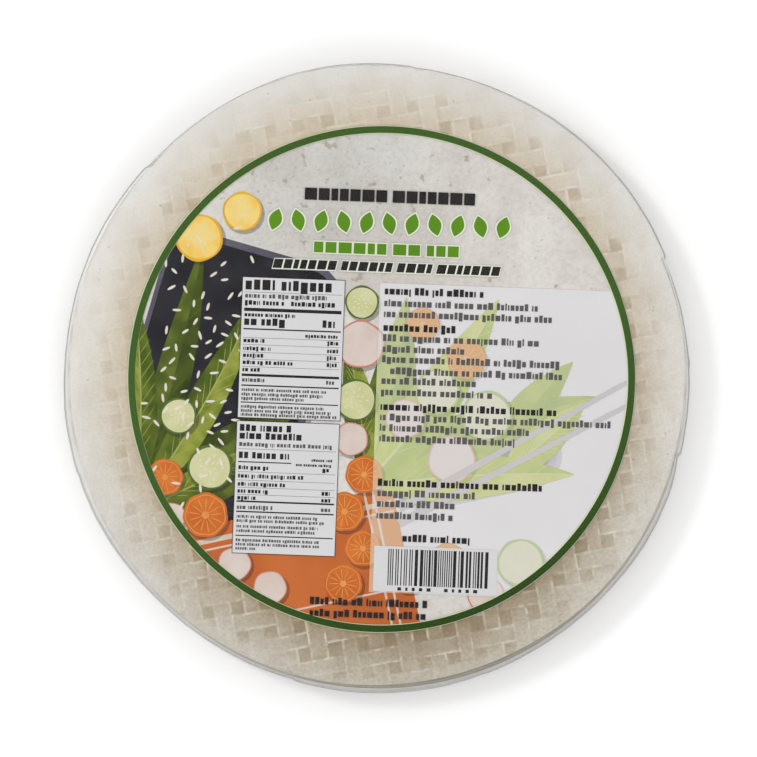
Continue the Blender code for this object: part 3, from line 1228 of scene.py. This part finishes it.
# Rice grains strewn on the board: how many places are tried, how many kept, how far apart, (middle, spread)
# of the places across and up, and the grains' lengths and width.
GRAIN_TRIES = 400
GRAIN_COUNT = 85
GRAIN_SPACING = 3.5
GRAINS_ACROSS = (-64, 9)
GRAINS_UP = (2, 21)
GRAIN_LENGTHS = (2.6, 3.4)
GRAIN_WIDTH = 0.95

# The two sticks: their outline, and each one's (direction, x, y).
STICK = ((0, -1.5), (96, -0.7), (96, 0.7), (0, 1.5))
STICK_PLACES = ((31, 8, -46), (29.35, 8, -51.5))


def print_accents():
    """Rice grains, and two grey sticks."""
    grains = layer("rice_grains", "grain")
    draw = random.Random(8)
    kept = []
    for _ in range(GRAIN_TRIES):
        place = (draw.gauss(*GRAINS_ACROSS), draw.gauss(*GRAINS_UP))
        length, degrees = draw.uniform(*GRAIN_LENGTHS), draw.uniform(0, 180)
        if len(kept) < GRAIN_COUNT and all(math.dist(place, other) > GRAIN_SPACING for other in kept):
            kept.append(place)
            grains.fill(oval(*place, length, GRAIN_WIDTH, degrees))
    sticks = layer("sticks", "stick")
    for place in STICK_PLACES:
        sticks.fill(turned(STICK, *place))


def print_art():
    """The picture, back to front."""
    print_boards()
    print_cloth()
    print_leaves()
    slice_shade = shade("slice_shade")
    for x, y, radius in (*CUCUMBERS, *SQUASHES, *RADISHES, *CARROTS):
        slice_shade.fill(disc(x + SLICE_SHADOW[0], y + SLICE_SHADOW[1], radius * 1.04))
    print_radishes()
    print_carrots()
    slices_top = Print.top
    print_seeded_rounds("cucumber", CUCUMBERS, "peel", "flesh")
    Print.top = slices_top
    print_seeded_rounds("squash", SQUASHES, "yellow", "yellow_flesh")
    print_accents()


def print_field():
    """The text's field: pale ground, and on it the picture again, in pale inks."""
    layer("text_field", "field").fill(box(*FIELD))
    Print.pale = True
    print_art()
    Print.pale = False


# The row of pointed ovals: how many, the first one's place, spacing and tilt, its halo's size and its own.
OVAL_COUNT = 11
OVAL_START = (-40.0, 55.6)
OVAL_SPACING = 8.15
OVAL_TILT = 16
OVAL_HALO = (9.2, 5.8)
OVAL_SIZE = (8.0, 4.6)


def print_titles():
    """Four centred lines: blocks, a row of plain pointed ovals, small blocks, and slanted blocks."""
    halo = layer("title_halo", "halo")
    green = layer("title_green")
    black = layer("title_black", "black")
    heading_blocks(black, (7, 7), centre=0.6, y=63.1, block=3.9, height=4.3, gap=0.62)
    for number in range(OVAL_COUNT):
        x, y = OVAL_START[0] + OVAL_SPACING * number, OVAL_START[1]
        tilt = OVAL_TILT if number % 2 else -OVAL_TILT
        halo.fill(lozenge(x, y, *OVAL_HALO, tilt))
        green.fill(lozenge(x, y, *OVAL_SIZE, tilt))
    third = {"groups": (6, 2, 3), "centre": 0.0, "block": 4.2, "gap": 0.75}
    heading_blocks(halo, y=43.9, height=4.7, grow=0.35, **third)
    heading_blocks(green, y=44.3, height=3.9, **third)
    fourth = {"groups": (7, 6, 4, 7), "centre": 0.0, "block": 2.85, "gap": 0.60, "slant": 0.22}
    heading_blocks(halo, y=37.8, height=4.0, grow=0.3, **fourth)
    heading_blocks(black, y=38.2, height=3.3, **fourth)


# The two tables, as rows of (distance down, height, kind, spans across). A rule is a solid bar, over
# RULE_SPAN unless its row says otherwise. Bold and plain are print without letters.
TABLE_WIDTH = 36.4
TABLE_BORDER = 0.2
RULE_SPAN = (0.8, 35.6)
TABLE_ONE = (
    (1.2, 3.2, "bold", (1.0, 35.4)), (5.2, 0.12, "rule"), (6.0, 1.3, "plain", (1.0, 31.5)),
    (8.4, 1.4, "bold", (1.0, 15.5), (17.5, 35.2)), (10.9, 1.2, "rule"), (12.9, 1.1, "bold", (1.0, 19.5)),
    (14.8, 2.3, "bold", (1.0, 16.5), (29.0, 35.2)), (18.2, 0.5, "rule"), (19.9, 1.0, "bold", (23.0, 35.2)),
    (21.5, 0.12, "rule"), (22.1, 1.2, "bold", (1.0, 9.5), (31.0, 35.0)), (24.0, 0.12, "rule"),
    (24.9, 1.2, "bold", (1.0, 12.0), (31.0, 35.0)), (26.7, 0.12, "rule"),
    (27.4, 1.2, "bold", (1.0, 8.5), (31.0, 35.0)), (29.2, 0.12, "rule"),
    (29.9, 1.2, "bold", (1.0, 19.0), (31.0, 35.0)), (31.9, 0.12, "rule"), (32.5, 1.2, "bold", (1.0, 8.0)),
    (34.5, 0.9, "rule"), (36.2, 1.2, "plain", (1.0, 10.0), (31.0, 35.0)), (38.4, 0.5, "rule"),
    (39.8, 0.9, "plain", (1.0, 32.0)), (41.4, 0.9, "plain", (1.0, 30.0)), (42.9, 0.9, "plain", (1.0, 24.0)),
    (44.5, 0.4, "rule"), (45.8, 0.9, "plain", (1.0, 30.5)), (47.3, 0.9, "plain", (1.0, 34.0)),
    (48.7, 0.9, "plain", (1.0, 35.4)),
)
TABLE_TWO = (
    (1.4, 2.1, "bold", (1.0, 21.0)), (4.2, 2.1, "bold", (1.0, 24.0)), (7.7, 1.2, "plain", (1.0, 35.0)),
    (9.8, 0.12, "rule"), (11.2, 2.0, "bold", (1.0, 19.5)), (12.8, 0.8, "bold", (27.0, 35.2)),
    (14.3, 0.4, "rule", (0.8, 19.8)), (14.6, 0.8, "bold", (21.5, 35.2)),
    (16.0, 1.2, "bold", (1.0, 12.5), (31.0, 35.0)), (18.0, 0.12, "rule"), (19.0, 1.2, "bold", (1.0, 24.5)),
    (21.0, 0.12, "rule"), (21.9, 1.2, "bold", (1.0, 18.5)), (23.6, 0.12, "rule"),
    (24.4, 1.2, "bold", (1.0, 12.0), (31.0, 35.0)), (26.1, 0.12, "rule"),
    (26.8, 1.2, "bold", (1.0, 8.5), (31.0, 35.0)), (28.3, 0.6, "rule"),
    (30.2, 1.2, "plain", (1.0, 14.0), (31.0, 35.0)), (32.0, 0.5, "rule"), (33.6, 0.9, "plain", (1.0, 31.0)),
    (35.1, 0.9, "plain", (1.0, 33.0)), (37.1, 0.9, "plain", (1.0, 31.0)), (38.7, 0.9, "plain", (1.0, 29.0)),
    (40.6, 0.4, "rule"), (42.0, 0.9, "plain", (1.0, 31.0)), (43.5, 0.9, "plain", (1.0, 31.0)),
    (45.0, 0.9, "plain", (1.0, 8.5)),
)

# Each table's left, top and height, and its rows.
TABLES = ((-50.8, 34.5, 50.1, TABLE_ONE), (-50.9, -17.0, 47.0, TABLE_TWO))


def print_tables():
    border = layer("table_borders", "black")
    white = layer("table_fields", "panel_white")
    bold = layer("table_bold", "black")
    plain = layer("table_plain", "soft_black")
    edge = TABLE_BORDER
    draw = random.Random(16)
    for left, top, height, rows in TABLES:
        border.fill(box(left - edge, top - height - edge, left + TABLE_WIDTH + edge, top + edge))
        white.fill(box(left, top - height, left + TABLE_WIDTH, top))
        for down, tall, kind, *spans in rows:
            low = top - down - tall
            for start, end in spans or [RULE_SPAN]:
                if kind == "rule":
                    bold.fill(box(left + start, low, left + end, low + tall))
                else:
                    target = bold if kind == "bold" else plain
                    word_blocks(target, left + start, low, end - start, tall, draw, tallest=1.15)


# The text block on the right: (x, middle y, width, whether bold) of each line.
TEXT_LINES = (
    (0.0, 31.2, 36.5, True), (0.0, 26.9, 55.0, False), (0.0, 23.0, 61.5, False),
    (0.0, 18.1, 26.2, True), (0.0, 14.4, 57.0, False), (0.0, 10.5, 30.0, False),
    (0.0, 6.8, 63.5, False), (3.0, 2.7, 62.0, False), (0.0, -0.9, 34.0, False),
    (0.0, -4.9, 39.8, False), (0.0, -10.2, 63.8, True), (0.0, -13.9, 83.0, False),
    (0.0, -17.7, 55.0, False), (0.0, -21.5, 50.0, False), (0.0, -37.3, 59.0, True),
    (0.0, -41.0, 36.0, False), (0.0, -44.8, 29.0, False), (0.0, -49.0, 27.5, False),
    (9.5, -56.9, 24.6, True), (-22.6, -80.3, 43.0, True), (-22.6, -84.5, 42.5, True),
)


def print_text():
    bold = layer("text_bold", "black")
    plain = layer("text_plain", "soft_black")
    draw = random.Random(5)
    for x, y, width, is_bold in TEXT_LINES:
        target, height = (bold, 2.0) if is_bold else (plain, 1.9)
        word_blocks(target, x, y - height / 2, width, height, draw)


# The striped box: its outline, the stripes' left, bottom, right and top, and the narrowest stripe.
STRIPE_BOX = (-0.4, -75.8, 43.6, -59.7)
STRIPES = (4.7, -73.6, 40.5, -60.6)
NARROWEST_STRIPE = 0.38


def print_stripes():
    """A white box with upright stripes of random widths, which stand for no number."""
    layer("stripe_box", "panel_white").fill(box(*STRIPE_BOX))
    stripes = layer("stripes", "black")
    draw = random.Random(31)
    x, bottom, right, top = STRIPES
    while x < right:
        width = NARROWEST_STRIPE * draw.choice((1, 1, 2, 3))
        stripes.fill(box(x, bottom, min(x + width, right), top))
        x += width + NARROWEST_STRIPE * draw.choice((1, 1, 2))
    heading_blocks(stripes, (5, 5), centre=22.6, y=-75.4, block=1.3, height=1.2, gap=1.5)


# The label's two rings: (inner radius, outer radius, shift to the right) of the pale one and the green one.
PALE_RING = (RING_INNER - 0.20, RING_OUTER + 0.02, -0.16)
GREEN_RING = (RING_INNER, RING_OUTER - 0.10, 0.0)
RING_STEPS = 360


def print_ring():
    """The label's green border on a slightly wider pale one, printed a little out of register."""
    line = layer("ring_line")
    green = Print("ring_green", finish_ring())
    for target, (inner, outer, shift) in ((line, PALE_RING), (green, GREEN_RING)):
        for step in range(RING_STEPS):
            start, end = math.tau * step / RING_STEPS, math.tau * (step + 1) / RING_STEPS
            corners = ((inner, start), (outer, start), (outer, end), (inner, end))
            target.fill([around(shift, 0.0, reach, turn) for reach, turn in corners], RING_OUTER + 1.0)


def print_label():
    """The picture, the text's field, and then the print over both, whose groups lie clear of each other."""
    print_art()
    print_field()
    picture_top = Print.top
    for print_group in (print_titles, print_tables, print_text, print_stripes, print_ring):
        Print.top = picture_top
        print_group()
    for ink_layer in Print.every:
        ink_layer.make()


def make_label(material):
    """The paper disc, a thin closed solid with its face under the film."""
    segments = 480
    angle = directions(segments)
    rings = []
    for inset, depth in ((0.04 * MM, LABEL_THICKNESS), (0.0, LABEL_THICKNESS / 2), (0.04 * MM, 0.0)):
        radius = LABEL_RADIUS - inset
        x, y = LABEL_CENTRE.x + radius * np.cos(angle), LABEL_CENTRE.y + radius * np.sin(angle)
        rings.append(level_ring(x, y, LABEL_FACE - depth))
    faces = band_faces(0, len(rings), segments)
    piece = add_piece("label_paper", np.concatenate(rings), faces, material, smooth=False)
    face_outwards(piece)
    return piece


# -------- the room

FLOOR_COLOUR = (0.96, 0.96, 0.96)
FLOOR_REACH = 6.0
FLOOR_HEIGHT = -0.05 * MM
WORLD_STRENGTH = 0.94

# Each soft light: its name, place, target, size and power.
LIGHTS = (
    ("key", (-0.80, 0.46, 1.10), (0, 0.02, 0), 0.26, 3.6),
    ("fill", (0.30, -1.10, 1.30), (0, 0, 0), 1.0, 3.0),
)

# The camera has a long lens, almost straight above, and leans towards the label's foot.
CAMERA_DISTANCE = 2.0
CAMERA_LEAN = math.radians(3.0)
CAMERA_TARGET = Vector((0.64 * MM, 0.05 * MM, 2.2 * MM))
SEEN_WIDTH = 0.2700


def make_floor():
    mesh = bpy.data.meshes.new("floor")
    corners = [(x, y, 0) for x, y in box(-FLOOR_REACH, -FLOOR_REACH, FLOOR_REACH, FLOOR_REACH)]
    mesh.from_pydata(corners, [], [range(4)])
    finish = Shader("floor").set(Base_Color=FLOOR_COLOUR, Roughness=0.7, Specular_IOR_Level=0.1)
    mesh.materials.append(finish)
    floor = add_object("floor", mesh)
    floor.location.z = FLOOR_HEIGHT


def stand(thing, place, direction):
    """Puts a light or a camera at a place, and points it in a direction."""
    thing.location = place
    thing.rotation_mode = "QUATERNION"
    thing.rotation_quaternion = direction.to_track_quat("-Z", "Y")


def make_light():
    world = bpy.data.worlds.new("studio")
    world.use_nodes = True
    background = world.node_tree.nodes["Background"]
    background.inputs["Color"].default_value = (1.0, 1.0, 1.0, 1.0)
    background.inputs["Strength"].default_value = WORLD_STRENGTH
    bpy.context.scene.world = world
    for name, place, target, size, power in LIGHTS:
        light = bpy.data.lights.new(name, "AREA")
        light.shape = "DISK"
        light.size = size
        light.energy = power
        stand(add_object(name, light), place, Vector(target) - Vector(place))


def make_camera():
    data = bpy.data.cameras.new("camera")
    data.sensor_width = 36.0
    data.lens = data.sensor_width * CAMERA_DISTANCE / SEEN_WIDTH
    data.clip_start = 0.05
    data.clip_end = 50.0
    camera = add_object("camera", data)
    back = Vector((0.0, -math.sin(CAMERA_LEAN), math.cos(CAMERA_LEAN)))
    stand(camera, CAMERA_TARGET + back * (CAMERA_DISTANCE + PACK_TOP), -back)
    bpy.context.scene.camera = camera
    bpy.context.scene.view_settings.view_transform = "Standard"


# -------- the whole

def make_sheets():
    """The top and lowest sheets, and the stack between them."""
    paper = finish_rice_paper()
    return (
        make_woven_sheet(
            "top_sheet", FINE_LINES, top_sheet_outline, TOP_SHEET_CENTRE, TOP_SHEET_FACE, 1,
            TOP_SHEET_HIDDEN, paper,
        ),
        make_woven_sheet(
            "bottom_sheet", COARSE_LINES, low_sheet_outline, LOW_SHEET_CENTRE, LOW_SHEET_FACE, -1,
            0.0, paper,
        ),
        make_sheet_stack(finish_sheet_edges()),
    )


def build():
    for piece in (*make_sheets(), make_film(finish_film())):
        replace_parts(piece, "film_pack")
    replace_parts(make_label(finish_stone_print()), "label")
    print_label()
    make_floor()
    make_light()
    make_camera()


build()
